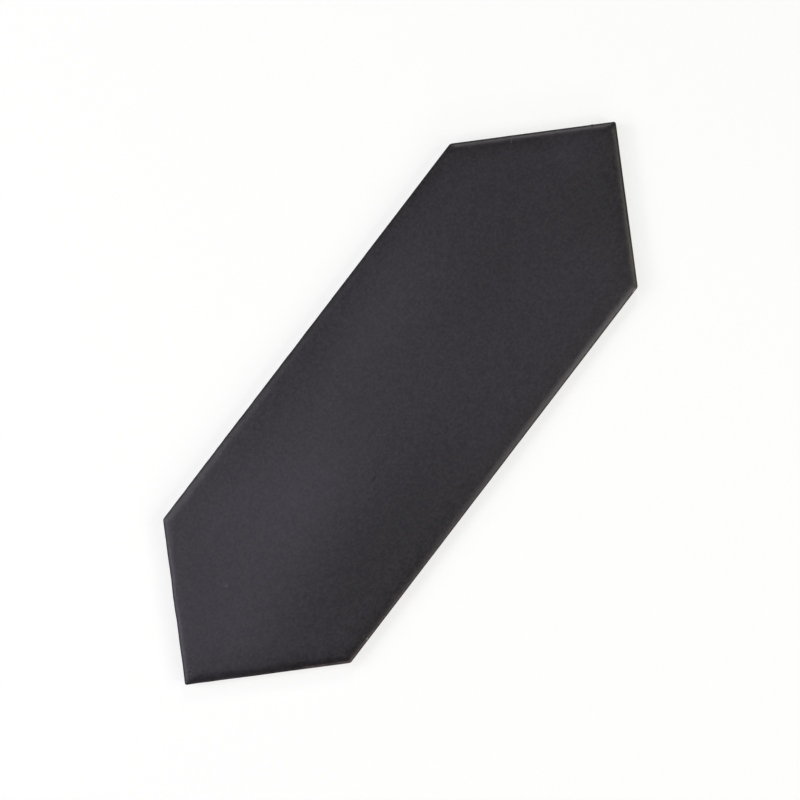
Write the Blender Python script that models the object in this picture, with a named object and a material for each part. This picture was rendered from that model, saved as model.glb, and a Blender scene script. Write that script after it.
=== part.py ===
"""Picket tile: an elongated hexagonal wall tile, pressed from white clay in one piece and glazed matt black.

The origin is at the middle of the back. X runs from point to point, Y across the width, and +Z out of the
glazed face. Lengths are in metres and angles in radians.
"""

import math

import bmesh
import bpy
from mathutils import Vector

# Outline, between the sharp corners
TILE_LENGTH = 0.300
TILE_WIDTH = 0.100
POINT_ANGLE = math.radians(90.0)
TIP_RADIUS = 0.0009
SHOULDER_RADIUS = 0.0020
MITRE_SOFTENING = 0.6
CORNER_SEGMENTS = 5

# Section, from the back up to the middle of the face
TILE_THICKNESS = 0.0080
BACK_CHAMFER = 0.0006
FOOT_HEIGHT = 0.0028
FOOT_DRAFT = math.radians(3.0)
STEP_WIDTH = 0.0005
STEP_HEIGHT = 0.0003

# Glazed edge, from the side in: a tight rim, a cushioned arc and a margin that falls gently
RIM_RADIUS = 0.0007
RIM_SEGMENTS = 2
ARRIS_WIDTH = 0.0038
ARRIS_DROP = 0.0007
ARRIS_LEAN = math.radians(36.0)
ARRIS_SEGMENTS = 6
PILLOW_WIDTH = 0.0067
PILLOW_DROP = 0.00019
PILLOW_SEGMENTS = 4

# Slow unevenness of the face, inside the pillowed margin
CROWN = 0.00015
HOLLOW_DEPTH = 0.00012
HOLLOW_LENGTH = 0.085
HOLLOW_ACROSS = 0.062
HOLLOW_SLANT = 0.25
FACE_GRID = 0.0065

# Keyed back that the mortar grips
BACK_RIM_WIDTH = 0.0060
RIB_WIDTH = 0.0030
POCKET_SIZE = 0.0110
POCKET_DEPTH = 0.0008
POCKET_DRAFT = math.radians(25.0)
POCKET_CORNER = 0.0012
POCKET_CORNER_SEGMENTS = 2

# Distance that a cutter runs past the face it cuts
CUT_MARGIN = 0.0010
WELD_DISTANCE = 0.000001

LAND_BOTTOM = FOOT_HEIGHT + STEP_HEIGHT
SHARP_ANGLE = math.radians(30.0)
FLAT_ANGLE = math.radians(1.0)

# Linear colours of the glaze and of the bare clay
GLAZE_COLOUR = (0.041, 0.038, 0.045, 1.0)
GLAZE_ROUGHNESS = 0.48
CLAY_COLOUR = (0.72, 0.67, 0.61, 1.0)
CLAY_ROUGHNESS = 0.90
GLAZE_SLOT, CLAY_SLOT = 0, 1


def clear_scene():
    for old in list(bpy.data.objects):
        bpy.data.objects.remove(old, do_unlink=True)


def new_collection(name):
    collection = bpy.data.collections.new(name)
    bpy.context.scene.collection.children.link(collection)
    return collection


def new_material(name, colour, roughness):
    material = bpy.data.materials.new(name)
    material.use_nodes = True
    shader = material.node_tree.nodes["Principled BSDF"]
    shader.inputs["Base Color"].default_value = colour
    shader.inputs["Roughness"].default_value = roughness
    shader.inputs["Metallic"].default_value = 0.0
    material.diffuse_color = colour
    return material


def outline(inward):
    """The six corners, anticlockwise from the right-hand point, at a distance inside the sides."""
    half_length = TILE_LENGTH / 2 - inward / math.sin(POINT_ANGLE / 2)
    half_width = TILE_WIDTH / 2 - inward
    shoulder = half_length - half_width / math.tan(POINT_ANGLE / 2)
    return [
        Vector((half_length, 0.0)),
        Vector((shoulder, half_width)),
        Vector((-shoulder, half_width)),
        Vector((-half_length, 0.0)),
        Vector((-shoulder, -half_width)),
        Vector((shoulder, -half_width)),
    ]


def distance_inside(x, y):
    """Distance from a point of the tile to its nearest side."""
    from_long_side = TILE_WIDTH / 2 - abs(y)
    half_angle = POINT_ANGLE / 2
    from_point_side = (TILE_LENGTH / 2 - abs(x)) * math.sin(half_angle) - abs(y) * math.cos(half_angle)
    return min(from_long_side, from_point_side)


def extruded_outline(corners, bottom, top):
    """A closed prism over the corners, as a bmesh with one face on each cap."""
    curve = bpy.data.curves.new("outline", "CURVE")
    curve.dimensions = "2D"
    curve.fill_mode = "BOTH"
    curve.extrude = (top - bottom) / 2
    spline = curve.splines.new("POLY")
    spline.points.add(len(corners) - 1)
    for point, (x, y) in zip(spline.points, corners):
        point.co = (x, y, 0.0, 1.0)
    spline.use_cyclic_u = True
    guide = bpy.data.objects.new("outline", curve)
    bpy.context.scene.collection.objects.link(guide)
    guide.location.z = (top + bottom) / 2
    graph = bpy.context.evaluated_depsgraph_get()
    mesh = bpy.data.meshes.new_from_object(guide.evaluated_get(graph))
    mesh.transform(guide.matrix_world)
    bpy.data.objects.remove(guide, do_unlink=True)
    bm = bmesh.new()
    bm.from_mesh(mesh)
    bpy.data.meshes.remove(mesh)
    bmesh.ops.remove_doubles(bm, verts=bm.verts, dist=WELD_DISTANCE)
    bmesh.ops.dissolve_limit(bm, angle_limit=FLAT_ANGLE, verts=bm.verts, edges=bm.edges)
    bmesh.ops.recalc_face_normals(bm, faces=bm.faces)
    return bm


def rounded(corners, radii, segments):
    """The outline with each corner replaced by an arc that touches both of its sides."""
    points = []
    for number, corner in enumerate(corners):
        back = (corners[number - 1] - corner).normalized()
        ahead = (corners[(number + 1) % len(corners)] - corner).normalized()
        half_angle = back.angle(ahead) / 2
        radius = radii[number]
        centre = corner + (back + ahead).normalized() * (radius / math.sin(half_angle))
        start = math.atan2(back.x, -back.y)
        sweep = math.pi - 2 * half_angle
        for step in range(segments + 1):
            turn = start + sweep * step / segments
            points.append(centre + Vector((math.cos(turn), math.sin(turn))) * radius)
    return points


def add_ring(bm, inward, height):
    """A closed loop of edges around the tile. The corners grow softer towards the middle."""
    softened = MITRE_SOFTENING * inward
    radii = [TIP_RADIUS + softened, SHOULDER_RADIUS + softened, SHOULDER_RADIUS + softened] * 2
    points = rounded(outline(inward), radii, CORNER_SEGMENTS)
    verts = [bm.verts.new((point.x, point.y, height)) for point in points]
    return [bm.edges.new((verts[number - 1], verts[number])) for number in range(len(verts))]


def foot_profile():
    """The lower side from the back up: chamfered at the back, drafted, and stepped in from the land."""
    foot = STEP_WIDTH + (FOOT_HEIGHT - BACK_CHAMFER) * math.tan(FOOT_DRAFT)
    return [
        (foot + BACK_CHAMFER, 0.0),
        (foot, BACK_CHAMFER),
        (STEP_WIDTH, FOOT_HEIGHT),
    ]


def margin_slope():
    """Slope at the outer end of the falling margin, which the cushioned arc takes up."""
    return 2 * PILLOW_DROP / PILLOW_WIDTH


def rim_profile():
    """A tight arc from the upright side to the lean at which the cushioned arc begins."""
    lean = math.atan(math.tan(ARRIS_LEAN) + margin_slope())
    points = []
    for step in range(1, RIM_SEGMENTS + 1):
        turn = math.pi / 2 + (lean - math.pi / 2) * step / RIM_SEGMENTS
        points.append((RIM_RADIUS * (1 - math.sin(turn)), RIM_RADIUS * math.cos(turn)))
    return points


def arris_profile():
    """The cushioned arc, the flatter part of an ellipse laid along the margin's slope."""
    rim_in, rim_up = rim_profile()[-1]
    start = math.asin(1 / (math.tan(ARRIS_LEAN) * ARRIS_WIDTH / ARRIS_DROP - 1))
    half_width = ARRIS_WIDTH / math.cos(start)
    half_height = ARRIS_DROP / (1 - math.sin(start))
    points = []
    for step in range(1, ARRIS_SEGMENTS + 1):
        turn = start + (math.pi / 2 - start) * step / ARRIS_SEGMENTS
        inward = half_width * (math.cos(start) - math.cos(turn))
        rise = half_height * (math.sin(turn) - math.sin(start)) + margin_slope() * inward
        points.append((rim_in + inward, rim_up + rise))
    return points


def pillow_profile():
    """The margin, a parabola that runs out level at the face."""
    arris_in, arris_up = arris_profile()[-1]
    points = []
    for step in range(1, PILLOW_SEGMENTS + 1):
        along = step / PILLOW_SEGMENTS
        rise = PILLOW_DROP * (1 - (1 - along) ** 2)
        points.append((arris_in + PILLOW_WIDTH * along, arris_up + rise))
    return points


def land_top():
    """Height at which the upright side ends and the glazed edge begins."""
    return TILE_THICKNESS - CROWN - pillow_profile()[-1][1]


def section():
    """Distance inside the sides and height above the back, from the back's rim to the level of the face."""
    top = land_top()
    edge = rim_profile() + arris_profile() + pillow_profile()
    glazed = [(inward, top + rise) for inward, rise in edge]
    return foot_profile() + [(0.0, LAND_BOTTOM), (0.0, top)] + glazed


def back_outline_inset():
    return foot_profile()[0][0]


def cut_face_grid(bm):
    """Divides the face and its margin, so that they can carry the slow unevenness."""
    lowest = land_top() + arris_profile()[-1][1] - WELD_DISTANCE
    for axis, size in ((Vector((1, 0, 0)), TILE_LENGTH), (Vector((0, 1, 0)), TILE_WIDTH)):
        lines = math.ceil(size / FACE_GRID)
        for line in range(1, lines):
            faces = [face for face in bm.faces if all(vert.co.z > lowest for vert in face.verts)]
            edges = {edge for face in faces for edge in face.edges}
            verts = {vert for face in faces for vert in face.verts}
            bmesh.ops.bisect_plane(
                bm,
                geom=faces + list(edges) + list(verts),
                dist=WELD_DISTANCE,
                plane_co=axis * (size * (line / lines - 0.5)),
                plane_no=axis,
            )


def face_lift(x, y):
    """Height that the crown adds and the hollows take off at a point of the face."""
    crown = CROWN * (1 - (2 * x / TILE_LENGTH) ** 2) * (1 - (2 * y / TILE_WIDTH) ** 2)
    lengthwise = math.cos(2 * math.pi * (x + y * HOLLOW_SLANT) / HOLLOW_LENGTH)
    across = math.cos(2 * math.pi * (y - x * HOLLOW_SLANT) / HOLLOW_ACROSS)
    return crown - HOLLOW_DEPTH * (1 - lengthwise * across) / 2


def shape_face(bm):
    """Lifts the face by its crown and hollows, fading out over the glazed edge."""
    top = land_top()
    margin = pillow_profile()[-1][0]
    for vert in bm.verts:
        if vert.co.z < top + WELD_DISTANCE:
            continue
        x, y, _ = vert.co
        settled = min(distance_inside(x, y) / margin, 1.0)
        vert.co.z += face_lift(x, y) * settled**2


def new_object(bm, name, materials, collection):
    mesh = bpy.data.meshes.new(name)
    bm.to_mesh(mesh)
    bm.free()
    for material in materials:
        mesh.materials.append(material)
    made = bpy.data.objects.new(name, mesh)
    collection.objects.link(made)
    return made


def hide_cutter(cutter):
    cutter.hide_render = True
    cutter.display_type = "WIRE"


def cut_or_clip(target, cutter, operation):
    modifier = target.modifiers.new(cutter.name, "BOOLEAN")
    modifier.operation = operation
    modifier.solver = "EXACT"
    modifier.object = cutter


def back_field(materials, collection):
    """The field of the back that holds the pockets, inside a plain rim."""
    corners = outline(back_outline_inset() + BACK_RIM_WIDTH)
    bm = extruded_outline(corners, -2 * CUT_MARGIN, POCKET_DEPTH + CUT_MARGIN)
    for face in bm.faces:
        face.material_index = CLAY_SLOT
    field = new_object(bm, "back_field", materials, collection)
    hide_cutter(field)
    return field


def pocket_places():
    """Centres of the square pockets, with ribs crossing at the middle of the back.

    A pocket that the rim clips is kept where about half of it is left, or more.
    """
    pitch = POCKET_SIZE + RIB_WIDTH
    columns = math.ceil(TILE_LENGTH / 2 / pitch)
    rows = math.ceil(TILE_WIDTH / 2 / pitch)
    nearest = back_outline_inset() + BACK_RIM_WIDTH - POCKET_SIZE / 8
    for column in range(-columns, columns):
        for row in range(-rows, rows):
            x = (column + 0.5) * pitch
            y = (row + 0.5) * pitch
            if distance_inside(x, y) > nearest:
                yield x, y


def add_pocket(bm, x, y):
    """A square plug with round corners and drafted walls, from below the back to the pocket's floor."""
    rings = []
    for height in (-CUT_MARGIN, POCKET_DEPTH):
        half = POCKET_SIZE / 2 - height * math.tan(POCKET_DRAFT)
        corners = [Vector(place) for place in ((half, -half), (half, half), (-half, half), (-half, -half))]
        points = rounded(corners, [POCKET_CORNER] * 4, POCKET_CORNER_SEGMENTS)
        verts = [bm.verts.new((x + point.x, y + point.y, height)) for point in points]
        rings.append([bm.edges.new((verts[number - 1], verts[number])) for number in range(len(verts))])
    bmesh.ops.bridge_loops(bm, edges=rings[0] + rings[1])
    for ring in rings:
        bmesh.ops.contextual_create(bm, geom=ring)


def back_pockets(materials, collection):
    """The pockets of the back, clipped by its rim where they meet it."""
    bm = bmesh.new()
    for x, y in pocket_places():
        add_pocket(bm, x, y)
    bmesh.ops.recalc_face_normals(bm, faces=bm.faces)
    for face in bm.faces:
        face.material_index = CLAY_SLOT
    pockets = new_object(bm, "back_pockets", materials, collection)
    hide_cutter(pockets)
    return pockets


def tile_body():
    """The tile without its back relief: one skin bridged over the rings of its section."""
    bm = bmesh.new()
    rings = [add_ring(bm, inward, height) for inward, height in section()]
    for lower, upper in zip(rings, rings[1:]):
        bmesh.ops.bridge_loops(bm, edges=lower + upper)
    bmesh.ops.contextual_create(bm, geom=rings[0])
    bmesh.ops.contextual_create(bm, geom=rings[-1])
    bmesh.ops.recalc_face_normals(bm, faces=bm.faces)
    cut_face_grid(bm)
    shape_face(bm)
    top = land_top()
    bmesh.ops.triangulate(bm, faces=[face for face in bm.faces if face.calc_center_median().z > top])
    for face in bm.faces:
        is_glazed = face.calc_center_median().z > LAND_BOTTOM
        face.material_index = GLAZE_SLOT if is_glazed else CLAY_SLOT
    return bm


def build_tile():
    clear_scene()
    parts = new_collection("picket_tile")
    cutters = new_collection("cutters")
    glaze = new_material("matt_black_glaze", GLAZE_COLOUR, GLAZE_ROUGHNESS)
    clay = new_material("fired_white_clay", CLAY_COLOUR, CLAY_ROUGHNESS)
    materials = [glaze, clay]
    tile = new_object(tile_body(), "picket_tile", materials, parts)
    pockets = back_pockets(materials, cutters)
    cut_or_clip(pockets, back_field(materials, cutters), "INTERSECT")
    cut_or_clip(tile, pockets, "DIFFERENCE")
    tile.data.shade_smooth()
    tile.data.set_sharp_from_angle(angle=SHARP_ANGLE)


build_tile()
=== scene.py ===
"""Picket tile: an elongated hexagonal wall tile in matt black glaze, lying face up and seen from above.

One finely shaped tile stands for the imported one: glazed over its face and the top of its sides, bare clay
below, with the keyed back. A white floor with a far white wall, soft lights and the camera go with it.
Lengths are in metres.
"""

import math
from typing import NamedTuple

import bmesh
import bpy
from bpy.props import FloatProperty, FloatVectorProperty, PointerProperty
from mathutils import Matrix, Vector, noise


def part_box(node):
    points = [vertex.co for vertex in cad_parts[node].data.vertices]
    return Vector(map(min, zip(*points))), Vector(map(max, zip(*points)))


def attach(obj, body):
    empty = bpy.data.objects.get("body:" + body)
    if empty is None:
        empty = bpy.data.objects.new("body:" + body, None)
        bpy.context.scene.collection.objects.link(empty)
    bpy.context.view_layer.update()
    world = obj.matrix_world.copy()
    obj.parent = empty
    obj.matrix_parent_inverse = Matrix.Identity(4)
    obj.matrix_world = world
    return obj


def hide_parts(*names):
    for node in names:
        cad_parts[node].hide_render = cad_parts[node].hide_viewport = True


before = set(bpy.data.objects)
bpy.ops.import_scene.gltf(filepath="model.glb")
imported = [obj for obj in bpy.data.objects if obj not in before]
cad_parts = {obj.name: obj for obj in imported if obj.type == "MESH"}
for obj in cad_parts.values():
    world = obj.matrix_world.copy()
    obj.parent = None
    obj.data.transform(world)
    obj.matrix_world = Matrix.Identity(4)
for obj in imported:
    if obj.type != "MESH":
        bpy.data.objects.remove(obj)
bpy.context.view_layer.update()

bl_info = {
    "name": "Picket Tile",
    "version": (1, 0, 0),
    "blender": (4, 5, 0),
    "location": "View3D > Sidebar > Tile",
    "description": "Adds a matt black picket tile and a white studio to show it in",
    "category": "Add Mesh",
}

NODE = "picket_tile"
TILE_LOW, TILE_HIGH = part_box(NODE)
GLAZE_SLOT, CLAY_SLOT = 0, 1

TIP_RADIUS = 0.0009
POINT_ANGLE = 90.0
TIP_CUT = TIP_RADIUS * (1 / math.sin(math.radians(POINT_ANGLE / 2)) - 1)  # what rounding takes off a tip

# Tolerances and least sizes of the meshes
WELD = 0.000001
SEAM_WELD = WELD * 5
SHARP_ANGLE = math.radians(35.0)
LEAST_CORNER = 0.0003
FLOOR_GAP = 0.0001

# Steps of the arcs, and cuts
CORNER_STEPS = 6
RIM_STEPS = 3
ARRIS_STEPS = 14
PILLOW_STEPS = 8
FOOT_STEPS = 3
POCKET_CORNER_STEPS = 3
MARK_CUTS = 4
FLOOR_SIDES = 64

# Profiles as pairs of inset and height: the glaze's lower edge from the glaze line, in thicknesses of its
# skin, and a pocket's mouth from the back and its floor from the pocket's depth, in radii of its lip
GLAZE_LIP = ((1.0, -2.0), (1.0, 0.0), (0.45, 0.25), (0.12, 1.0), (0.0, 2.5))
POCKET_MOUTH = ((-2.0, -1.5), (-1.0, 0.0), (-0.55, 0.14), (-0.2, 0.45), (0.0, 1.0))
POCKET_FLOOR = ((0.0, -1.0), (0.35, -0.3), (1.3, 0.0))

CLAY_BANDS = 2  # bands of the upper body that lie under the glaze line
STEP_SOFTENING = 0.35  # how far down the step its softening point lies
POCKET_OVERHANG = 1 / 8  # how far outside the field a pocket's centre may lie, in pocket sizes
FIELD_STRETCH = 1.001  # keeps the field's cut out of the planes of the pockets

# Unevenness of the glaze
LUMPY_START = 0.15  # where it starts to grow towards -X and +Y, in tile lengths
LUMPY_GROWTH = 3.0  # how much it grows in each tile length
LUMPY_LEAST = 0.2  # its share before it grows
EDGE_REACH = 1.8  # how far in from the side the edge is uneven, in arris widths

# Marks, measured in their half sizes
MARK_CORE = 0.3  # inside this, the colour is full
MARK_REACH = 1.5  # inside this, the glaze rises or sinks
MARK_ROOM = 2.0  # inside this, the faces are cut smaller
MARK_FADE = 2.0  # how steeply the rise fades
MARK_RAGGEDNESS = 1.2  # how far the noise moves the colour's edge

# Strengths and sizes in the materials
GRAIN_IN_COLOUR = 3.5  # against the mottling's
MOTTLE_IN_SHEEN = 0.08  # in the roughness
# The worn line and edge are partly a painted highlight along the lower right side
WEAR_AND_HIGHLIGHT_LEAST = 0.4  # share of the worn line that shows everywhere
SAND_SHARE = 0.3  # in the change from pale to warm clay
PORE_DEPTH = 1.5  # in heights of the grain
MIST_COVER = 0.7  # where the overspray is densest
MIST_GROWTH = 0.22  # how much the droplets gain up to the glaze line
MIST_START = 0.6  # where the overspray starts, in foot heights
MIST_WANDER = 0.0016  # rise and fall of the overspray's patches

# Spans run from where a mask starts to where it is full, at first as distances inside the sides
DRY_RIM_SPAN = (0.0007, 0.0002)
# The worn line and edge also place a painted highlight
WORN_LINE_AND_HIGHLIGHT_SPAN = (0.0015, 0.0009)
WORN_EDGE_AND_HIGHLIGHT_SPAN = (0.75, 0.15)  # in arris widths

# Spans along and across the tile
# These place the worn rim and its painted highlight on the lower right side
WORN_EDGE_AND_HIGHLIGHT_ALONG = (0.04, 0.10)
WORN_END_AND_HIGHLIGHT_ALONG = (-0.055, -0.080)
LOWER_RIGHT_ACROSS = (-0.031, -0.039)

# Spans of a noise's values
# The first span lays out the wear and painted highlight of the lower right rim
WEAR_AND_HIGHLIGHT_SPAN = (0.34, 0.60)
WARM_SPAN = (0.35, 0.66)
PORE_SPAN = (0.62, 0.74)
DROPLET_SPAN = (0.62, 0.78)


class Cloud(NamedTuple):
    """A soft patch of the face painted lighter or, below zero, darker: partly the glaze's tone, partly
    painted sheen.
    """

    x: float
    y: float
    reach_x: float
    reach_y: float
    strength: float


class Mark(NamedTuple):
    """A small blemish: an oval that rises or sinks and shows one of the glaze's other colours; in pits a
    painted shade.

    Its turn is the direction of its length from +X, in degrees, and its reach and breadth are half sizes.
    """

    x: float
    y: float
    reach: float
    breadth: float
    turn: float
    rise: float
    shade: str
    strength: float

    def place(self, x, y):
        """A point's place in the oval, in half lengths and half breadths. Takes numbers or Values."""
        turn = math.radians(self.turn)
        aside = x - self.x
        ahead = y - self.y
        along = (aside * math.cos(turn) + ahead * math.sin(turn)) / self.reach
        across = (ahead * math.cos(turn) - aside * math.sin(turn)) / self.breadth
        return along, across


class Wander(NamedTuple):
    """Slow and quick unevenness laid over each other, each from its own layer of the noise."""

    slow_size: float
    slow_layer: float
    quick_size: float
    quick_layer: float
    quick_share: float

    def at(self, x, y, slow_share=1.0):
        slow = noise.noise(Vector((x, y, self.slow_layer)) / self.slow_size)
        quick = noise.noise(Vector((x, y, self.quick_layer)) / self.quick_size)
        return slow * slow_share + quick * self.quick_share


class Lamp(NamedTuple):
    """A soft panel. Its azimuth starts at the picture's right and runs anticlockwise, in degrees."""

    name: str
    azimuth: float
    elevation: float
    distance: float
    width: float
    height: float
    radiance: tuple


# Patches of the glaze's own tone, and of painted sheen where the lamps' reflections fall
TONE_AND_SHEEN_CLOUDS = (
    Cloud(-0.080, 0.012, 0.062, 0.025, 0.95),
    Cloud(-0.050, -0.029, 0.058, 0.019, -0.75),
    Cloud(0.036, 0.032, 0.034, 0.018, 0.50),
    Cloud(-0.010, 0.044, 0.028, 0.010, -0.35),
    Cloud(0.080, 0.012, 0.030, 0.020, -0.25),
    Cloud(-0.118, -0.006, 0.020, 0.013, 0.55),
    Cloud(-0.080, 0.033, 0.020, 0.010, 0.40),
    Cloud(-0.052, 0.009, 0.022, 0.015, 0.45),
    Cloud(0.000, 0.028, 0.040, 0.009, 0.30),
    Cloud(0.055, 0.000, 0.024, 0.016, -0.22),
    Cloud(0.116, -0.014, 0.020, 0.016, -0.38),
    Cloud(0.131, 0.009, 0.010, 0.007, 0.50),
)

MARKS = (
    Mark(-0.1058, 0.0115, 0.00115, 0.00075, 128.0, 0.00004, "nib", 0.055),  # pale speck
    # The pinhole and the dent take a painted shade in their hollows
    Mark(-0.1444, 0.0016, 0.00062, 0.00062, 0.0, -0.00040, "painted_pit_shade", 1.0),  # pinhole
    Mark(-0.0316, -0.0107, 0.00260, 0.00080, 5.0, -0.00012, "painted_pit_shade", 0.85),  # dent
    Mark(0.1164, 0.0300, 0.00150, 0.00036, 37.0, 0.00006, "nib", 0.075),  # streak on the edge
    Mark(0.1426, 0.0070, 0.00090, 0.00060, 135.0, 0.00022, "thin_glaze_and_highlight", 0.40),  # thin patch on the edge
    Mark(0.0981, -0.0496, 0.00190, 0.00036, 1.0, -0.00008, "nib", 0.50),  # chip by the right shoulder
    Mark(-0.0876, -0.0493, 0.00050, 0.00035, 0.0, -0.00006, "nib", 0.60),  # chip on the long rim
    # The thin patch at the tip also paints a bulge of the highlight
    Mark(0.1459, -0.0014, 0.00150, 0.00060, 45.0, -0.00003, "thin_glaze_and_highlight", 0.70),  # thin patch at the tip
)

EDGE_WANDER = Wander(0.0075, 0.0, 0.0028, 3.0, 0.40)
OUTLINE_WANDER = Wander(0.009, 5.0, 0.0030, 6.0, 0.35)
GLAZE_LINE_WANDER = Wander(0.016, 1.0, 0.005, 2.0, 0.40)

# Another program fitted these lamps to the tones of the photo. Fitted to the photo's tones, then
# rounded; three lamps' colours were changed afterwards.
LAMPS = (
    Lamp("right_panel", 15.0, 44.0, 1.2, 0.21, 0.27, (8.2, 7.9, 7.0)),
    Lamp("top_panel", 86.0, 42.0, 1.2, 0.21, 0.21, (14.5, 13.6, 14.2)),
    Lamp("left_panel", 168.0, 45.0, 1.2, 0.41, 1.15, (3.4, 3.2, 3.7)),
    Lamp("lower_left_strip", 201.0, 40.0, 1.2, 1.04, 0.30, (3.7, 3.4, 4.1)),
    Lamp("lower_right_strip", 336.0, 47.0, 1.2, 0.21, 0.76, (7.3, 6.9, 7.0)),
    Lamp("overhead_panel", 228.0, 82.0, 1.3, 0.23, 1.34, (1.9, 1.8, 2.2)),
    Lamp("low_strip", 294.0, 24.0, 1.2, 0.91, 0.26, (3.2, 2.5, 3.1)),
)


def scalar(name, description, default, **options):
    return FloatProperty(name=name, description=description, default=default, **options)


def length(name, description, default):
    return scalar(name, description, default, unit="LENGTH", precision=5)


def share(name, description, default):
    return scalar(name, description, default, min=0.0, max=1.0, subtype="FACTOR")


def angle(name, description, degrees):
    return scalar(name, description, math.radians(degrees), subtype="ANGLE")


def colour(name, description, default):
    return FloatVectorProperty(name=name, description=description, default=default, size=3, subtype="COLOR")


class TileShape(bpy.types.PropertyGroup):
    """Sizes of the tile."""

    tip_radius: length("Tip radius", "Rounding of the two points at the outline", TIP_RADIUS)
    shoulder_radius: length("Shoulder radius", "Rounding of the four blunt corners", 0.0020)
    mitre_softening: share("Mitre softening", "Growth of the corner rounding towards the middle", 0.6)
    tile_length: length("Length", "Between the sharp points", TILE_HIGH.x - TILE_LOW.x + 2 * TIP_CUT)
    tile_width: length("Width", "Across the long sides", TILE_HIGH.y - TILE_LOW.y)
    thickness: length("Thickness", "From the back to the middle of the face", TILE_HIGH.z - TILE_LOW.z)
    point_angle: angle("Point angle", "Angle between the two sides of a point", POINT_ANGLE)
    back_chamfer: length("Back chamfer", "Softened edge round the back", 0.0006)
    foot_height: length("Foot height", "Height of the stepped-in lower side", 0.0028)
    foot_draft: angle("Foot draft", "Lean of the lower side", 3.0)
    step_width: length("Step width", "How far the lower side stands in", 0.0005)
    step_height: length("Step height", "Height of the slope under the land", 0.0003)
    rim_radius: length("Rim radius", "Rounding where the cushioned edge meets the side", 0.0007)
    arris_width: length("Arris width", "Width of the cushioned edge", 0.0038)
    arris_drop: length("Arris drop", "Depth of the cushioned edge's arc", 0.0007)
    arris_lean: angle("Arris lean", "Lean of the arc at its outer end", 36.0)
    pillow_width: length("Pillow width", "Width of the gently falling margin", 0.0067)
    pillow_drop: length("Pillow drop", "Fall of the margin", 0.00019)
    crown: length("Crown", "Rise of the middle of the face", 0.00015)
    hollow_depth: length("Hollow depth", "Depth of the slow hollows of the face", 0.00012)
    hollow_length: length("Hollow length", "Spacing of the hollows along the tile", 0.085)
    hollow_across: length("Hollow spacing across", "Spacing of the hollows across the tile", 0.062)
    hollow_slant: share("Hollow slant", "How far the hollows run aslant", 0.25)
    glaze_line: length("Glaze line", "Height of the glaze's lower edge on the sides", 0.0042)
    glaze_wander: length("Glaze wander", "Rise and fall of the glaze's lower edge", 0.0005)
    glaze_skin: length("Glaze skin", "Thickness of the glaze over the clay", 0.00012)
    edge_wander: length("Edge wander", "Unevenness of the cushioned edge", 0.00006)
    outline_wander: length("Outline wander", "Unevenness that the glaze gives the outline", 0.00015)
    rim_width: length("Rim width", "Plain rim round the pockets of the back", 0.0060)
    rib_width: length("Rib width", "Ribs between the pockets", 0.0030)
    pocket_size: length("Pocket size", "Side of a square pocket", 0.0110)
    pocket_depth: length("Pocket depth", "Depth of a pocket", 0.0008)
    pocket_draft: angle("Pocket draft", "Lean of the pocket walls", 25.0)
    pocket_corner: length("Pocket corner", "Rounding of a pocket's corners", 0.0012)
    pocket_lip: length("Pocket lip", "Rounding of the ribs' edges", 0.0003)
    mesh_spacing: length("Mesh spacing", "Distance between the face's points", 0.00140)
    side_spacing: length("Side spacing", "Distance between the points along the sides", 0.00085)


class GlazeLook(bpy.types.PropertyGroup):
    """Colours and relief of the matt black glaze."""

    body: colour("Glaze", "Colour of the glaze where no cloud lies", (0.0112, 0.0107, 0.0108))
    # The thin glaze colour also paints a highlight along the lower right rim and at the tip
    thin_glaze_and_highlight: colour("Thin glaze", "Where the clay warms the glaze along the edges", (0.070, 0.057, 0.047))
    # The worn line, end and edge are partly thin glaze over the clay, partly a painted highlight
    worn_line_and_highlight: share("Worn line", "How far the clay shows along the rim of the lower right side", 0.50)
    worn_end_and_highlight: share("Worn end", "How much further it shows along the rim towards -X", 0.35)
    worn_edge_and_highlight: share("Worn edge", "How far it shows over that side's edge towards +X", 0.13)
    nib: colour("Nib", "Pale body that shows in the specks", (0.55, 0.50, 0.44))
    # Painted shade: this colour darkens the pinhole and the dent in their hollows
    painted_pit_shade: colour("Pit", "Bottom of the pinholes and dents", (0.002, 0.002, 0.002))
    # Tint of the clouds: their painted sheen takes the purple-blue of the lamps' light
    tone_and_sheen_tint: colour("Cloud tint", "How strongly clouds change red, green and blue", (1.0, 0.95, 1.18))
    mottle: share("Mottle", "How much the small mottling changes the colour", 0.90)
    roughness: share("Roughness", "Mean roughness of the glaze", 0.37)
    uneven: share("Uneven sheen", "How much the roughness changes from grain to grain", 0.10)
    dry_rim: share("Dry rim", "How much rougher the glaze is on the steep rim", 0.50)
    grain: length("Grain", "Height of the fine grain", 0.000012)
    peel: length("Peel", "Height of the orange peel", 0.000030)


class ClayLook(bpy.types.PropertyGroup):
    """Colours of the bare clay."""

    pale: colour("Pale clay", "Clay where it is whitest", (0.74, 0.70, 0.64))
    warm: colour("Warm clay", "Clay where the kiln left it warmer", (0.62, 0.55, 0.47))
    mist: colour("Glaze mist", "Fine overspray under the glaze line", (0.05, 0.047, 0.05))
    roughness: share("Roughness", "Roughness of the bare clay", 0.88)
    grain: length("Grain", "Height of the sandy grain", 0.00004)


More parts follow.
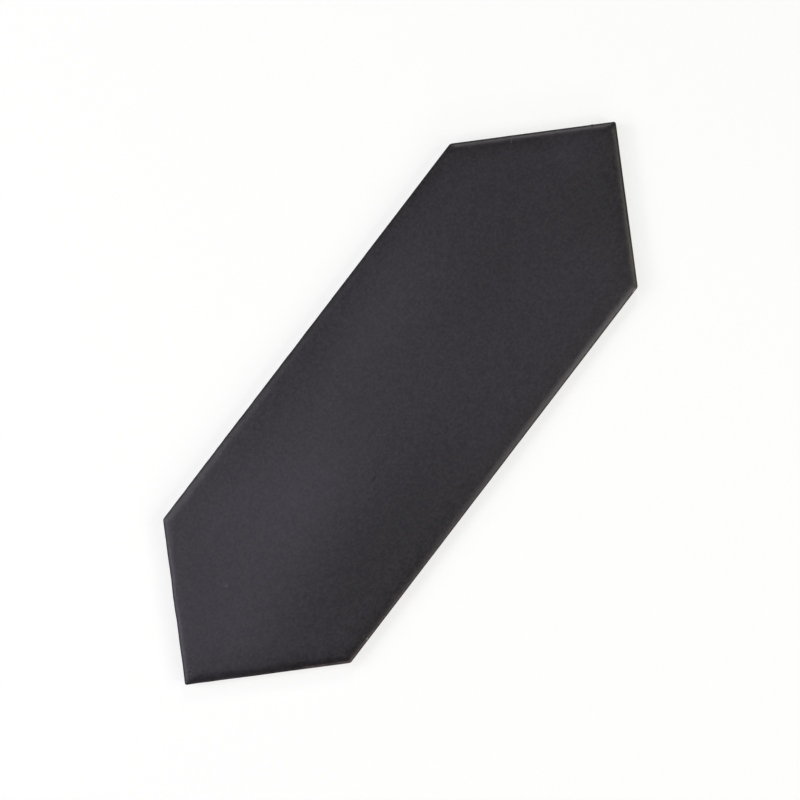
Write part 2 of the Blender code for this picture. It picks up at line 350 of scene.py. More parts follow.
class Studio(bpy.types.PropertyGroup):
    """Floor, lights and camera."""

    camera_height: length("Camera height", "Height of the camera above the floor", 0.946)
    camera_aside: FloatVectorProperty(
        name="Camera aside",
        description="Where the camera hangs, along and across the tile from its middle",
        default=(0.00102, 0.00096),
        size=2,
        subtype="XYZ",
        unit="LENGTH",
        precision=5,
    )
    camera_roll: angle("Camera roll", "Turn of the tile's length from the picture's width", 52.615)
    lens: scalar("Lens", "Focal length in millimetres", 100.0, unit="CAMERA")
    floor_size: length("Floor size", "Width of the round floor", 24.0)
    wall_height: length("Wall height", "Height of the white wall round the floor", 2.4)
    floor_colour: colour("Floor colour", "Colour of the floor", (0.424, 0.455, 0.403))
    floor_white: share("Floor white", "Light that lifts the lit floor to white where it is seen", 0.62)
    lit_reach: length("Lit reach", "How far out the lamps light the floor in full", 0.3)
    dark_reach: length("Dark reach", "How far out the floor is left to its own light", 1.7)
    air: share("Air light", "Even light from all round", 0.03)
    lamp_level: share("Lamp level", "Share of the lamps' full strength", 1.0)


def operator_pair(operation):
    """An operator of Value and its reflected form, which both add a Math node."""

    def forward(self, other):
        return self.math(operation, self, other)

    def reflected(self, other):
        return self.math(operation, other, self)

    return forward, reflected


class Value:
    """A number on a node's output socket, so that sums on it read as arithmetic."""

    def __init__(self, finish, socket):
        self.finish = finish
        self.socket = socket

    def math(self, operation, *terms):
        return self.finish.add("ShaderNodeMath", {"operation": operation}, dict(enumerate(terms)), "Value")

    __add__, __radd__ = operator_pair("ADD")
    __sub__, __rsub__ = operator_pair("SUBTRACT")
    __mul__, __rmul__ = operator_pair("MULTIPLY")
    __truediv__, __rtruediv__ = operator_pair("DIVIDE")
    __pow__, __rpow__ = operator_pair("POWER")

    def __abs__(self):
        return self.math("ABSOLUTE", self)

    def exponent(self):
        return self.math("EXPONENT", self)

    def least(self, other):
        return self.math("MINIMUM", self, other)

    def most(self, other):
        return self.math("MAXIMUM", self, other)

    def ease(self, start, full):
        """0 up to start and 1 from full on, with soft ends. Full may be the smaller of the two."""
        values = {"Value": self, "From Min": start, "From Max": full}
        return self.finish.add("ShaderNodeMapRange", {"interpolation_type": "SMOOTHSTEP"}, values, "Result")


class Finish:
    """Makes the nodes of one material or world."""

    def __init__(self, tree):
        self.tree = tree
        tree.nodes.clear()

    @staticmethod
    def find(sockets, key):
        """A socket by its number, or by its identifier or, among those in use, its name."""
        if isinstance(key, int):
            return sockets[key]
        for socket in sockets:
            if socket.identifier == key:
                return socket
        for socket in sockets:
            if socket.name == key and socket.enabled:
                return socket
        raise KeyError(key)

    def add(self, kind, settings, values, output):
        """Adds a node, sets it up and fills its inputs. Returns one output as a Value, or else the node."""
        node = self.tree.nodes.new(kind)
        for key, setting in settings.items():
            setattr(node, key, setting)
        for key, value in values.items():
            target = self.find(node.inputs, key)
            if isinstance(value, Value):
                self.tree.links.new(value.socket, target)
            elif hasattr(value, "__len__") and target.type == "RGBA":
                target.default_value = (*value[:3], 1.0)
            else:
                target.default_value = value
        return Value(self, self.find(node.outputs, output)) if output is not None else node

    def coordinates(self):
        return self.add("ShaderNodeTexCoord", {}, {}, "Object")

    def axes(self, vector):
        """The three parts of a vector."""
        node = self.add("ShaderNodeSeparateXYZ", {}, {"Vector": vector}, None)
        return [Value(self, socket) for socket in node.outputs]

    def noise(self, vector, size, detail=2.0, roughness=0.5):
        """Noise from 0 to 1 whose lumps are about the given size across."""
        values = {"Vector": vector, "Scale": 1 / size, "Detail": detail, "Roughness": roughness}
        return self.add("ShaderNodeTexNoise", {}, values, "Fac")

    def mix(self, factor, first, second, blend="MIX"):
        values = {"Factor_Float": factor, "A_Color": first, "B_Color": second}
        return self.add("ShaderNodeMix", {"data_type": "RGBA", "blend_type": blend}, values, "Result_Color")

    def bump(self, height):
        """A normal for relief whose height is in metres."""
        values = {"Strength": 1.0, "Distance": 1.0, "Height": height}
        return self.add("ShaderNodeBump", {}, values, "Normal")

    def surface(self, values):
        shader = self.add("ShaderNodeBsdfPrincipled", {}, values, "BSDF")
        self.add("ShaderNodeOutputMaterial", {}, {"Surface": shader}, None)


def new_material(name):
    material = bpy.data.materials.new(name)
    material.use_nodes = True
    return material, Finish(material.node_tree)


def side_distances(shape, x, y):
    """Distances from a place to its nearest long side and point side. Takes numbers or Values."""
    half_angle = shape.point_angle / 2
    to_long_side = shape.tile_width / 2 - abs(y)
    to_point_side = (shape.tile_length / 2 - abs(x)) * math.sin(half_angle) - abs(y) * math.cos(half_angle)
    return to_long_side, to_point_side


def distance_inside(shape, x, y):
    """Distance from a point of the tile to its nearest side."""
    return min(side_distances(shape, x, y))


def inside_value(shape, x, y):
    """The same distance, worked out in a material."""
    to_long_side, to_point_side = side_distances(shape, x, y)
    return to_long_side.least(to_point_side)


def tone_and_sheen_value(x, y, cloud):
    """Strength of a cloud of tone and painted sheen at a place: most in its middle, and fading softly."""
    along = (x - cloud.x) / cloud.reach_x
    across = (y - cloud.y) / cloud.reach_y
    return (along * along * -1.0 - across * across).exponent() * cloud.strength


def mark_value(x, y, mark, ragged):
    """1 on a mark and 0 off it, with a ragged edge."""
    along, across = mark.place(x, y)
    distance = (along * along + across * across) ** 0.5 + ragged
    return distance.ease(1.0, MARK_CORE)


def rim_wear_and_highlight(finish, shape, look, place):
    """How far the clay warms the lower right side, along its rim and over its edge towards +X: partly thin
    glaze, partly painted highlight.
    """
    x, y, _ = finish.axes(place)
    inside = inside_value(shape, x, y)
    wear_and_highlight = finish.noise(place, size=0.006, detail=3.0, roughness=0.65).ease(*WEAR_AND_HIGHLIGHT_SPAN)
    line = inside.ease(*WORN_LINE_AND_HIGHLIGHT_SPAN) * (wear_and_highlight * (1 - WEAR_AND_HIGHLIGHT_LEAST) + WEAR_AND_HIGHLIGHT_LEAST)
    edge_span = [shape.arris_width * end for end in WORN_EDGE_AND_HIGHLIGHT_SPAN]
    edge = inside.ease(*edge_span) * wear_and_highlight * x.ease(*WORN_EDGE_AND_HIGHLIGHT_ALONG)
    line_strength = x.ease(*WORN_END_AND_HIGHLIGHT_ALONG) * look.worn_end_and_highlight + look.worn_line_and_highlight
    return (line * line_strength + edge * look.worn_edge_and_highlight) * y.ease(*LOWER_RIGHT_ACROSS)


def glaze_colour(finish, shape, look, place, mottle, grain):
    """Base colour: clouds of tone and painted sheen, mottling, the lower right rim with a painted
    highlight, and marks.
    """
    x, y, _ = finish.axes(place)
    fine = (mottle - 0.5) * look.mottle + (grain - 0.5) * look.mottle * GRAIN_IN_COLOUR + 1.0
    # The clouds: the glaze's tone and a painted sheen
    tone_and_sheen = sum(tone_and_sheen_value(x, y, cloud) for cloud in TONE_AND_SHEEN_CLOUDS)
    parts = {name: fine + tone_and_sheen * tint for name, tint in zip(("Red", "Green", "Blue"), look.tone_and_sheen_tint)}
    tone = finish.add("ShaderNodeCombineColor", {}, parts, "Color")
    body = finish.mix(1.0, look.body, tone, "MULTIPLY")
    # Thin glaze and a painted highlight along the lower right rim
    shown = finish.mix(rim_wear_and_highlight(finish, shape, look, place), body, look.thin_glaze_and_highlight)
    ragged = (finish.noise(place, size=0.0005) - 0.5) * MARK_RAGGEDNESS
    for mark in MARKS:
        cover = mark_value(x, y, mark, ragged) * mark.strength
        shown = finish.mix(cover, shown, getattr(look, mark.shade))
    return shown


def glaze_material(shape, look):
    """Matt black glaze: clouds of tone and painted sheen, fine grain, and thin glaze with painted highlight
    on edges.
    """
    material, finish = new_material("matt_black_glaze")
    place = finish.coordinates()
    mottle = finish.noise(place, size=0.0045, detail=3.0, roughness=0.6)
    grain = finish.noise(place, size=0.0012, roughness=0.55)
    fine = finish.noise(place, size=0.0004)
    x, y, _ = finish.axes(place)
    rim = inside_value(shape, x, y).ease(*DRY_RIM_SPAN)
    sheen = (mottle - 0.5) * MOTTLE_IN_SHEEN + (grain - 0.5) * look.uneven
    finish.surface(
        {
            "Base Color": glaze_colour(finish, shape, look, place, mottle, grain),
            "Roughness": look.roughness + sheen + rim * look.dry_rim,
            "Metallic": 0.0,
            "Specular IOR Level": 0.5,
            "Normal": finish.bump(grain * look.peel + fine * look.grain),
        }
    )
    return material


def mist_value(finish, shape, place):
    """How densely the overspray lies: in fine droplets, most at the glaze line, none on the lower foot."""
    _, _, z = finish.axes(place)
    droplets = finish.noise(place, size=0.00028, detail=3.0, roughness=0.6)
    patches = finish.noise(place, size=0.0060)
    height = z + (patches - 0.5) * MIST_WANDER
    nearness = height.ease(shape.foot_height * MIST_START, shape.glaze_line)
    return (droplets + nearness * MIST_GROWTH).ease(*DROPLET_SPAN) * nearness


def clay_material(shape, look):
    """Bare fired clay: pale, sandy and finely pored, misted with black under the glaze line."""
    material, finish = new_material("fired_white_clay")
    place = finish.coordinates()
    patch = finish.noise(place, size=0.030, detail=3.0, roughness=0.55)
    sand = finish.noise(place, size=0.0005, detail=3.0, roughness=0.65)
    pores = finish.noise(place, size=0.0013)
    warmth = (patch * (1 - SAND_SHARE) + sand * SAND_SHARE).ease(*WARM_SPAN)
    body = finish.mix(warmth, look.pale, look.warm)
    mist = mist_value(finish, shape, place) * MIST_COVER
    height = sand * look.grain - pores.ease(*PORE_SPAN) * (look.grain * PORE_DEPTH)
    finish.surface(
        {
            "Base Color": finish.mix(mist, body, look.mist),
            "Roughness": look.roughness,
            "Metallic": 0.0,
            "Normal": finish.bump(height),
        }
    )
    return material


def outline(shape, inward):
    """The six corners, anticlockwise from the point at +X, at a distance inside the sides."""
    half_length = shape.tile_length / 2 - inward / math.sin(shape.point_angle / 2)
    half_width = shape.tile_width / 2 - inward
    shoulder = half_length - half_width / math.tan(shape.point_angle / 2)
    right = [Vector((shoulder, -half_width)), Vector((half_length, 0.0)), Vector((shoulder, half_width))]
    return right[1:] + [-corner for corner in right] + right[:1]


def corner_radii(shape, inward):
    """Rounding of the six corners, which grows with the distance inside the sides."""
    softened = shape.mitre_softening * inward
    tip = shape.tip_radius + softened
    shoulder = shape.shoulder_radius + softened
    return [tip, shoulder, shoulder] * 2


def corner_arc(corners, number, radius, steps):
    """Points of the arc that rounds one corner and touches both of its sides."""
    corner = corners[number]
    back = (corners[number - 1] - corner).normalized()
    ahead = (corners[(number + 1) % len(corners)] - corner).normalized()
    half_angle = back.angle(ahead) / 2
    centre = corner + (back + ahead).normalized() * (radius / math.sin(half_angle))
    start = math.atan2(back.x, -back.y)
    sweep = math.pi - 2 * half_angle
    turns = [start + sweep * step / steps for step in range(steps + 1)]
    return [centre + Vector((math.cos(turn), math.sin(turn))) * radius for turn in turns]


def ring_points(shape, inward):
    """The rounded outline as evenly placed points, as many on every ring."""
    corners = outline(shape, inward)
    radii = corner_radii(shape, inward)
    arcs = [corner_arc(corners, number, radii[number], CORNER_STEPS) for number in range(len(corners))]
    full = outline(shape, 0.0)
    points = []
    for number, arc in enumerate(arcs):
        following = (number + 1) % len(arcs)
        run = (full[following] - full[number]).length
        steps = max(round(run / shape.side_spacing), 2)
        points += arc
        points += [arc[-1].lerp(arcs[following][0], step / steps) for step in range(1, steps)]
    return points


def foot_profile(shape):
    """The lower side from the back up, as distance inside the sides and height.

    The bare clay of the land lies inside the glazed side by the thickness of the glaze.
    """
    drafted = shape.foot_height - shape.back_chamfer
    clay = shape.glaze_skin
    foot = shape.step_width + drafted * math.tan(shape.foot_draft)
    points = []
    for step in range(FOOT_STEPS + 1):
        turn = math.pi / 2 * step / FOOT_STEPS
        inward = foot + shape.back_chamfer * (1 - math.sin(turn))
        points.append((inward, shape.back_chamfer * (1 - math.cos(turn))))
    for step in range(1, FOOT_STEPS + 1):
        along = step / FOOT_STEPS
        inward = foot + (shape.step_width - foot) * along
        points.append((inward, shape.back_chamfer + drafted * along))
    land = shape.foot_height + shape.step_height
    points.append((clay + shape.step_width * STEP_SOFTENING, land - shape.step_height * STEP_SOFTENING))
    points.append((clay, land))
    return points


def edge_profile(shape):
    """The rim, the cushioned edge and the margin, from the side up to the face, as inset and height.

    The cushioned edge is part of an ellipse that leans by the arris lean at its outer end and is level at
    its inner one, with the margin's first slope added all along.
    """
    slope = 2 * shape.pillow_drop / shape.pillow_width
    start = math.asin(1 / (math.tan(shape.arris_lean) * shape.arris_width / shape.arris_drop - 1))
    half_width = shape.arris_width / math.cos(start)
    half_height = shape.arris_drop / (1 - math.sin(start))
    lean = math.atan(math.tan(shape.arris_lean) + slope)
    points = []
    for step in range(RIM_STEPS):
        turn = math.pi / 2 + (lean - math.pi / 2) * step / RIM_STEPS
        points.append((shape.rim_radius * (1 - math.sin(turn)), shape.rim_radius * math.cos(turn)))
    rim_in = shape.rim_radius * (1 - math.sin(lean))
    rim_up = shape.rim_radius * math.cos(lean)
    for step in range(ARRIS_STEPS + 1):
        turn = start + (math.pi / 2 - start) * step / ARRIS_STEPS
        inward = half_width * (math.cos(start) - math.cos(turn))
        rise = half_height * (math.sin(turn) - math.sin(start)) + slope * inward
        points.append((rim_in + inward, rim_up + rise))
    arris_in, arris_up = points[-1]
    for step in range(1, PILLOW_STEPS + 1):
        along = step / PILLOW_STEPS
        rise = shape.pillow_drop * (1 - (1 - along) ** 2)
        points.append((arris_in + shape.pillow_width * along, arris_up + rise))
    return points


def land_top(shape):
    """Height at which the upright side ends and the rim begins."""
    return shape.thickness - shape.crown - edge_profile(shape)[-1][1]


def glaze_profile(shape):
    """The glazed side and edge from the glaze line up to the level of the face."""
    top = land_top(shape)
    skin = shape.glaze_skin
    line = shape.glaze_line
    lip = [(skin * inward, line + skin * rise) for inward, rise in GLAZE_LIP]
    side = [(0.0, (line + top) / 2)]
    return lip + side + [(inward, top + rise) for inward, rise in edge_profile(shape)]


def add_ring(bm, shape, inward, height):
    return [bm.verts.new((point.x, point.y, height)) for point in ring_points(shape, inward)]


def skin_between(bm, lower, upper, slot):
    """A band of faces between two rings of as many points."""
    for number in range(len(lower)):
        face = bm.faces.new((lower[number - 1], lower[number], upper[number], upper[number - 1]))
        face.material_index = slot


def slice_faces(bm, faces, axis, places):
    """Cuts faces by parallel planes in rising order, handling only what still lies ahead."""
    ahead = list(faces)
    done = []
    for place in places:
        edges = {edge for face in ahead for edge in face.edges}
        verts = {vert for face in ahead for vert in face.verts}
        geometry = ahead + list(edges) + list(verts)
        cut = bmesh.ops.bisect_plane(bm, geom=geometry, dist=WELD, plane_co=axis * place, plane_no=axis)
        pieces = [item for item in cut["geom"] if isinstance(item, bmesh.types.BMFace)]
        ahead = [face for face in pieces if face.calc_center_median().dot(axis) > place]
        passed = set(ahead)
        done += [face for face in pieces if face not in passed]
    return done + ahead


def grid_places(size, spacing):
    """Evenly spaced places inside a size, centred on 0."""
    count = math.ceil(size / spacing)
    return [size * (number / count - 0.5) for number in range(1, count)]


def face_lift(shape, x, y):
    """Height that the crown adds and the hollows take off at a point of the face."""
    crown = shape.crown * (1 - (2 * x / shape.tile_length) ** 2) * (1 - (2 * y / shape.tile_width) ** 2)
    lengthwise = math.cos(2 * math.pi * (x + y * shape.hollow_slant) / shape.hollow_length)
    across = math.cos(2 * math.pi * (y - x * shape.hollow_slant) / shape.hollow_across)
    return crown - shape.hollow_depth * (1 - lengthwise * across) / 2


def lumpiness(shape, x, y):
    """Share of the full unevenness: the glaze lay thickest over the side of the tile at -X and +Y."""
    past = (2 * y - x) / shape.tile_length - LUMPY_START
    return LUMPY_LEAST + (1 - LUMPY_LEAST) * min(max(past * LUMPY_GROWTH, 0.0), 1.0)


def edge_unevenness(shape, x, y, inside):
    """Fall and rise of the cushioned edge along the tile, none at the side or on the face."""
    share_in = math.sin(math.pi * min(inside / (shape.arris_width * EDGE_REACH), 1.0))
    return EDGE_WANDER.at(x, y, lumpiness(shape, x, y)) * shape.edge_wander * share_in


def outline_bulge(shape, x, y, inside):
    """How far the glaze stands out at the rim, fading over the cushioned edge."""
    fade = max(1.0 - inside / shape.arris_width, 0.0)
    return OUTLINE_WANDER.at(x, y) * lumpiness(shape, x, y) * shape.outline_wander * fade


def mark_rise(x, y):
    """How far the marks raise the glaze at a place or, below zero, sink it."""
    total = 0.0
    for mark in MARKS:
        away = math.hypot(*mark.place(x, y))
        if away < MARK_REACH:
            total += mark.rise * math.exp(-MARK_FADE * away**2)
    return total


def refine_marks(bm):
    """Cuts the faces round each mark smaller, so that it can take its shape."""
    for mark in MARKS:
        near = []
        for face in bm.faces:
            centre = face.calc_center_median()
            away = math.hypot(*mark.place(centre.x, centre.y))
            if face.material_index == GLAZE_SLOT and away < MARK_ROOM:
                near.append(face)
        edges = {edge for face in near for edge in face.edges}
        bmesh.ops.subdivide_edges(bm, edges=list(edges), cuts=MARK_CUTS, use_grid_fill=True)


def shape_glaze(bm, shape):
    """Gives the face its slow unevenness and marks, and the rim, the edges and the glaze line theirs."""
    top = land_top(shape)
    land_bottom = shape.foot_height + shape.step_height
    margin = edge_profile(shape)[-1][0]
    bm.normal_update()
    for vert in bm.verts:
        x, y, z = vert.co
        inside = distance_inside(shape, x, y)
        if z > shape.glaze_line + WELD:
            height = min((z - shape.glaze_line) / (top - shape.glaze_line), 1.0)
            vert.co += vert.normal * (outline_bulge(shape, x, y, inside) + mark_rise(x, y)) * height
        if z > top + WELD:
            settled = min(inside / margin, 1.0)
            vert.co.z += face_lift(shape, x, y) * settled**2 + edge_unevenness(shape, x, y, inside)
        elif land_bottom + WELD < z < top - WELD:
            below = (z - land_bottom) / (shape.glaze_line - land_bottom)
            above = (top - z) / (top - shape.glaze_line)
            vert.co.z += GLAZE_LINE_WANDER.at(x, y) * shape.glaze_wander * min(below, above, 1.0)


def build_upper(bm, shape):
    """The land, the glazed side, the cushioned edge and the face. Returns the lowest ring."""
    foot = foot_profile(shape)
    rings = [add_ring(bm, shape, inward, height) for inward, height in foot[-1:] + glaze_profile(shape)]
    for number, (lower, upper) in enumerate(zip(rings, rings[1:])):
        skin_between(bm, lower, upper, CLAY_SLOT if number < CLAY_BANDS else GLAZE_SLOT)
    face = bm.faces.new(rings[-1])
    face.material_index = GLAZE_SLOT
    strips = slice_faces(bm, [face], Vector((1, 0, 0)), grid_places(shape.tile_length, shape.mesh_spacing))
    slice_faces(bm, strips, Vector((0, 1, 0)), grid_places(shape.tile_width, shape.mesh_spacing))
    refine_marks(bm)
    shape_glaze(bm, shape)
    return rings[0]


def pocket_profile(shape):
    """Wall of a pocket, as distance inside its nominal mouth and height above the back."""
    lip = shape.pocket_lip
    depth = shape.pocket_depth
    wall_in = (depth - lip - lip) * math.tan(shape.pocket_draft)
    mouth = [(lip * inward, lip * height) for inward, height in POCKET_MOUTH]
    return mouth + [(wall_in + lip * inward, depth + lip * height) for inward, height in POCKET_FLOOR]


def loft(bm, rings):
    """A closed body through rings of as many points, capped at both ends."""
    made = [[bm.verts.new(point) for point in ring] for ring in rings]
    for lower, upper in zip(made, made[1:]):
        skin_between(bm, lower, upper, CLAY_SLOT)
    for ring in (made[0], made[-1]):
        cap = bm.faces.new(ring)
        cap.material_index = CLAY_SLOT


def rounded_ring(corners, radius, centre, height):
    """Points of an outline with rounded corners, laid round a centre at a height."""
    arcs = [corner_arc(corners, number, radius, POCKET_CORNER_STEPS) for number in range(len(corners))]
    return [(centre[0] + point.x, centre[1] + point.y, height) for arc in arcs for point in arc]


def square_corners(half):
    return [Vector((half, -half)), Vector((half, half)), Vector((-half, half)), Vector((-half, -half))]


def pocket_grid(shape):
    """Spacing of the pockets, and how many fit on each side of the middle, along and across the tile."""
    pitch = shape.pocket_size + shape.rib_width
    return pitch, math.ceil(shape.tile_length / 2 / pitch), math.ceil(shape.tile_width / 2 / pitch)


def field_start(shape):
    """Distance inside the sides at which the plain rim of the back ends."""
    return foot_profile(shape)[0][0] + shape.rim_width


def pocket_places(shape):
    """Centres of the pockets, with ribs crossing at the middle of the back."""
    pitch, columns, rows = pocket_grid(shape)
    nearest = field_start(shape) - shape.pocket_size * POCKET_OVERHANG
    for column in range(-columns, columns):
        for row in range(-rows, rows):
            x = (column + 0.5) * pitch
            y = (row + 0.5) * pitch
            if distance_inside(shape, x, y) > nearest:
                yield x, y


def mesh_object(bm, name, materials=()):
    """An object in the scene with the bmesh as its mesh. The bmesh is freed."""
    bmesh.ops.recalc_face_normals(bm, faces=bm.faces)
    mesh = bpy.data.meshes.new(name)
    bm.to_mesh(mesh)
    bm.free()
    for material in materials:
        mesh.materials.append(material)
    made = bpy.data.objects.new(name, mesh)
    bpy.context.scene.collection.objects.link(made)
    return made


def pocket_cutter(shape):
    """All pockets of the grid, whole, as bodies to cut with."""
    bm = bmesh.new()
    for centre in pocket_places(shape):
        rings = []
        for inward, height in pocket_profile(shape):
            corners = square_corners(shape.pocket_size / 2 - inward)
            radius = max(shape.pocket_corner - inward, LEAST_CORNER)
            rings.append(rounded_ring(corners, radius, centre, height))
        loft(bm, rings)
    return mesh_object(bm, "pocket_cutter")


def field_cutter(shape):
    """The field of the back that holds the pockets, with the same lip and draft as theirs."""
    start = field_start(shape)
    bm = bmesh.new()
    rings = []
    for inward, height in pocket_profile(shape):
        corners = outline(shape, start + inward)
        rings.append(rounded_ring(corners, shape.pocket_corner, (0.0, 0.0), height * FIELD_STRETCH))
    loft(bm, rings)
    return mesh_object(bm, "field_cutter")


def take_evaluated(made):
    """The object's mesh with its modifiers, as a bmesh. The object is removed."""
    graph = bpy.context.evaluated_depsgraph_get()
    mesh = bpy.data.meshes.new_from_object(made.evaluated_get(graph))
    bm = bmesh.new()
    bm.from_mesh(mesh)
    bpy.data.meshes.remove(mesh)
    bpy.data.objects.remove(made, do_unlink=True)
    return bm


def cut(target, cutter, operation):
    """Adds a modifier that cuts the target by the cutter."""
    modifier = target.modifiers.new(cutter.name, "BOOLEAN")
    modifier.operation = operation
    modifier.solver = "EXACT"
    modifier.object = cutter


def build_lower(shape):
    """The foot and the keyed back, as a bmesh that is open where the land sits on it."""
    bm = bmesh.new()
    rings = [add_ring(bm, shape, inward, height) for inward, height in foot_profile(shape)]
    for lower, upper in zip(rings, rings[1:]):
        skin_between(bm, lower, upper, CLAY_SLOT)
    back = bm.faces.new(rings[0])
    bm.faces.new(rings[-1])
    pitch, columns, rows = pocket_grid(shape)
    along = [pitch * line for line in range(-columns, columns + 1)]
    across = [pitch * line for line in range(-rows, rows + 1)]
    strips = slice_faces(bm, [back], Vector((1, 0, 0)), along)
    slice_faces(bm, strips, Vector((0, 1, 0)), across)
    for face in bm.faces:
        face.material_index = CLAY_SLOT
    foot = mesh_object(bm, "foot")
    pockets = pocket_cutter(shape)
    field = field_cutter(shape)
    cut(pockets, field, "INTERSECT")
    cut(foot, pockets, "DIFFERENCE")
    bpy.context.view_layer.update()
    made = take_evaluated(foot)
    for cutter in (pockets, field):
        bpy.data.objects.remove(cutter, do_unlink=True)
    top = max(vert.co.z for vert in made.verts)
    lids = [face for face in made.faces if all(vert.co.z > top - WELD for vert in face.verts)]
    bmesh.ops.delete(made, geom=lids, context="FACES_ONLY")
    return made


def build_tile(shape, materials):
    """The whole tile as one closed mesh."""
    bm = build_lower(shape)
    build_upper(bm, shape)
    bmesh.ops.remove_doubles(bm, verts=bm.verts, dist=SEAM_WELD)
    for face in bm.faces:
        face.smooth = True
    tile = mesh_object(bm, "glazed_picket_tile", materials)
    tile.data.set_sharp_from_angle(angle=SHARP_ANGLE)
    even = tile.modifiers.new("even_normals", "WEIGHTED_NORMAL")
    even.keep_sharp = True
    return tile


class TILE_OT_add_tile(bpy.types.Operator):
    """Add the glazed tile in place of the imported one"""

    bl_idname = "tile.add_tile"
    bl_label = "Add picket tile"

    def execute(self, context):
        shape = context.scene.tile_shape
        glaze = glaze_material(shape, context.scene.glaze_look)
        clay = clay_material(shape, context.scene.clay_look)
        tile = build_tile(shape, [glaze, clay])
        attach(tile, "root")
        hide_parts(NODE)
        return {"FINISHED"}


def picture_axes(studio):
    """Directions on the floor that point right and up in the picture."""
    roll = studio.camera_roll
    right = Vector((math.cos(roll), -math.sin(roll), 0.0))
    up = Vector((math.sin(roll), math.cos(roll), 0.0))
    return right, up


def add_camera(studio):
    """The camera straight above, turned so that the tile lies aslant as in the picture."""
    right, up = picture_axes(studio)
    camera = bpy.data.cameras.new("camera_above")
    camera.lens = studio.lens
    camera.clip_end = studio.floor_size * 2
    made = bpy.data.objects.new("camera_above", camera)
    turn = Matrix((right, up, Vector((0.0, 0.0, 1.0)))).transposed()
    place = Vector((*studio.camera_aside, studio.camera_height))
    made.matrix_world = Matrix.Translation(place) @ turn.to_4x4()
    bpy.context.scene.collection.objects.link(made)
    bpy.context.scene.camera = made


def add_lamp(studio, lamp):
    """One soft panel that faces the middle of the tile and has the radiance that it is listed with."""
    right, up = picture_axes(studio)
    azimuth = math.radians(lamp.azimuth)
    elevation = math.radians(lamp.elevation)
    flat = right * math.cos(azimuth) + up * math.sin(azimuth)
    aim = flat * math.cos(elevation) + Vector((0.0, 0.0, math.sin(elevation)))
    brightest = max(lamp.radiance)
    data = bpy.data.lights.new(lamp.name, "AREA")
    data.shape = "RECTANGLE"
    data.size = lamp.width
    data.size_y = lamp.height
    data.energy = brightest * math.pi * lamp.width * lamp.height * studio.lamp_level
    data.color = [part / brightest for part in lamp.radiance]
    made = bpy.data.objects.new(lamp.name, data)
    made.location = aim * lamp.distance
    made.rotation_euler = aim.to_track_quat("Z", "Y").to_euler()
    bpy.context.scene.collection.objects.link(made)


def seen_rays(finish):
    """1 for rays that show what is behind the tile, and 0 for those that only light it."""
    node = finish.add("ShaderNodeLightPath", {}, {}, None)
    names = ("Is Camera Ray", "Is Glossy Ray", "Is Transmission Ray")
    camera, glossy, through = [Value(finish, node.outputs[name]) for name in names]
    return camera.most(glossy).most(through)


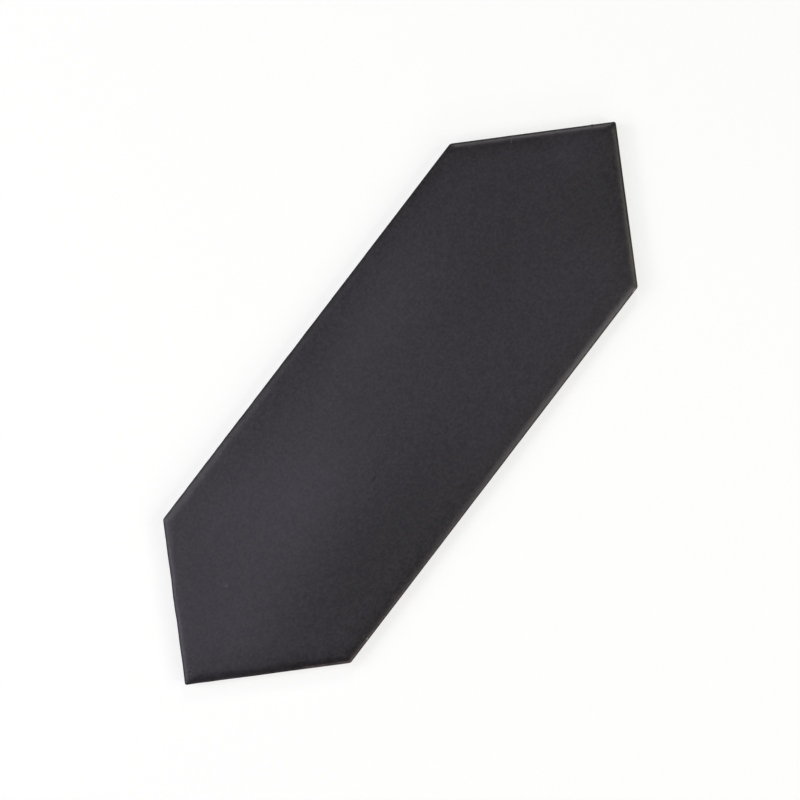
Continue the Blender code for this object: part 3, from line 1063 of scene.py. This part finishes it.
def add_floor(studio):
    """A white floor that takes the tile's shadow, with a far white wall behind it in low views."""
    bm = bmesh.new()
    bmesh.ops.create_circle(bm, cap_ends=True, segments=FLOOR_SIDES, radius=studio.floor_size / 2)
    rim = [edge for edge in bm.edges if edge.is_boundary]
    wall = bmesh.ops.extrude_edge_only(bm, edges=rim)["geom"]
    raised = [item for item in wall if isinstance(item, bmesh.types.BMVert)]
    bmesh.ops.translate(bm, verts=raised, vec=Vector((0.0, 0.0, studio.wall_height)))
    floor = mesh_object(bm, "studio_floor")
    floor.location.z = -FLOOR_GAP
    material, finish = new_material("white_floor")
    x, y, _ = finish.axes(finish.coordinates())
    distance = (x * x + y * y) ** 0.5
    lit = (studio.floor_white,) * 3
    tone = finish.mix(distance.ease(studio.lit_reach, studio.dark_reach), lit, (1.0, 1.0, 1.0))
    diffuse = finish.add("ShaderNodeBsdfDiffuse", {}, {"Color": studio.floor_colour}, "BSDF")
    glow = finish.add("ShaderNodeEmission", {}, {"Color": tone, "Strength": seen_rays(finish)}, "Emission")
    both = finish.add("ShaderNodeAddShader", {}, {0: diffuse, 1: glow}, "Shader")
    finish.add("ShaderNodeOutputMaterial", {}, {"Surface": both}, None)
    floor.data.materials.append(material)


def add_air(studio):
    """Faint even light from all round."""
    world = bpy.data.worlds.new("studio_air")
    world.use_nodes = True
    bpy.context.scene.world = world
    finish = Finish(world.node_tree)
    back = finish.add("ShaderNodeBackground", {}, {"Strength": studio.air}, "Background")
    finish.add("ShaderNodeOutputWorld", {}, {"Surface": back}, None)


class TILE_OT_add_studio(bpy.types.Operator):
    """Add the floor, the lights and the camera"""

    bl_idname = "tile.add_studio"
    bl_label = "Add studio"

    def execute(self, context):
        studio = context.scene.studio
        add_floor(studio)
        add_air(studio)
        for lamp in LAMPS:
            add_lamp(studio, lamp)
        add_camera(studio)
        context.scene.view_settings.view_transform = "Standard"
        return {"FINISHED"}


class TILE_PT_panel(bpy.types.Panel):
    """Lists the tile's operators and settings"""

    bl_idname = "TILE_PT_panel"
    bl_label = "Picket Tile"
    bl_space_type = "VIEW_3D"
    bl_region_type = "UI"
    bl_category = "Tile"

    def draw(self, context):
        column = self.layout.column()
        for operator in OPERATORS:
            column.operator(operator.bl_idname)
        for name in SETTINGS:
            box = column.box()
            group = getattr(context.scene, name)
            for key in group.__annotations__:
                box.prop(group, key)


OPERATORS = (TILE_OT_add_tile, TILE_OT_add_studio)
SETTINGS = {"tile_shape": TileShape, "glaze_look": GlazeLook, "clay_look": ClayLook, "studio": Studio}
CLASSES = (*SETTINGS.values(), *OPERATORS, TILE_PT_panel)


def register():
    for kind in CLASSES:
        bpy.utils.register_class(kind)
    for name, kind in SETTINGS.items():
        setattr(bpy.types.Scene, name, PointerProperty(type=kind))


def unregister():
    for name in SETTINGS:
        delattr(bpy.types.Scene, name)
    for kind in reversed(CLASSES):
        bpy.utils.unregister_class(kind)


def main():
    register()
    bpy.ops.tile.add_tile()
    bpy.ops.tile.add_studio()


if __name__ == "__main__":
    main()
